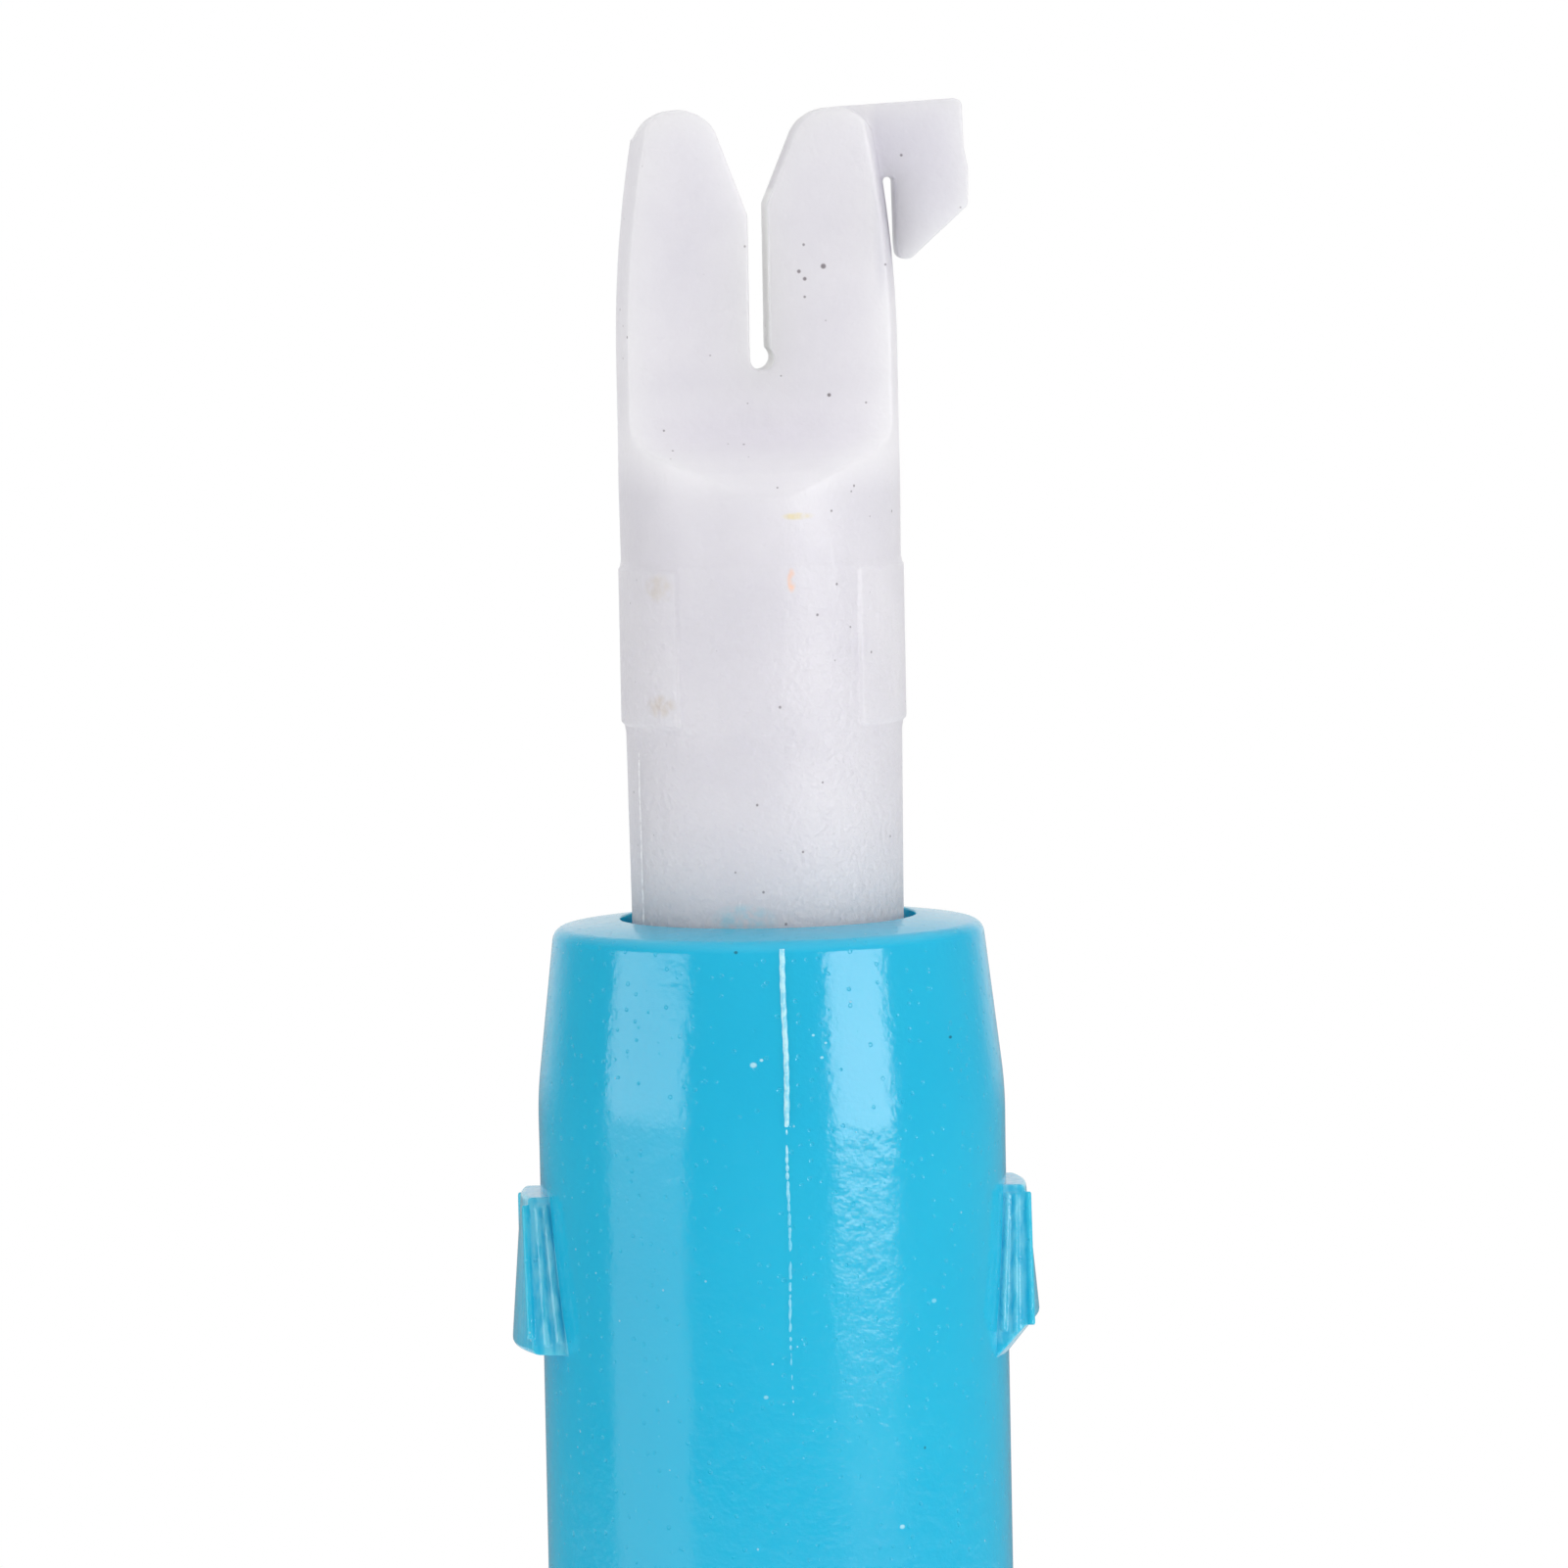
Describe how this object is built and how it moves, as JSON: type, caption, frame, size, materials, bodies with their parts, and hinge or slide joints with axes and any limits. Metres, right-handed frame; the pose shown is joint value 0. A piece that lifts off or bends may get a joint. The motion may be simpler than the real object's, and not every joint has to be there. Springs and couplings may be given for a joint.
{
  "type": "knot tying tool",
  "caption": "Upright round hand tool for tying fine line: a forked white blade with a side hook, in a blue sleeve that slides forward against a spring and turns.",
  "frame": {"origin": "centre of the flat rear face of the end cap, on the tool's axis", "axes": "+Z along the tool's axis towards the fork, +X towards the ear, the blade's flats face -Y and +Y"},
  "size_m": [0.0114, 0.01, 0.0994],
  "materials": {
    "natural_plastic": "natural translucent moulded",
    "sky_blue_plastic": "glossy moulded",
    "spring_steel": "bright drawn"
  },
  "bodies": {
    "core": {"fork_core": "natural_plastic", "handle": "sky_blue_plastic", "handle_pin": "spring_steel", "end_cap": "sky_blue_plastic", "return_spring": "spring_steel"},
    "seat": {"spring_seat": "spring_steel"},
    "sleeve": {"sleeve": "sky_blue_plastic", "guide_bush": "natural_plastic", "bush_snap_ring": "spring_steel"}
  },
  "joints": [
    {"name": "sleeve_slide", "type": "slide", "parent": "core", "child": "seat", "axis": [0, 0, 1], "range_m": [0, 0.0137], "stiffness_N_per_m": 60, "springref_m": -0.003, "deforming": ["return_spring"]},
    {"name": "sleeve_turn", "type": "hinge", "parent": "seat", "child": "sleeve", "pos_m": [0, 0, 0.0415], "axis": [0, 0, 1], "continuous": true}
  ]
}
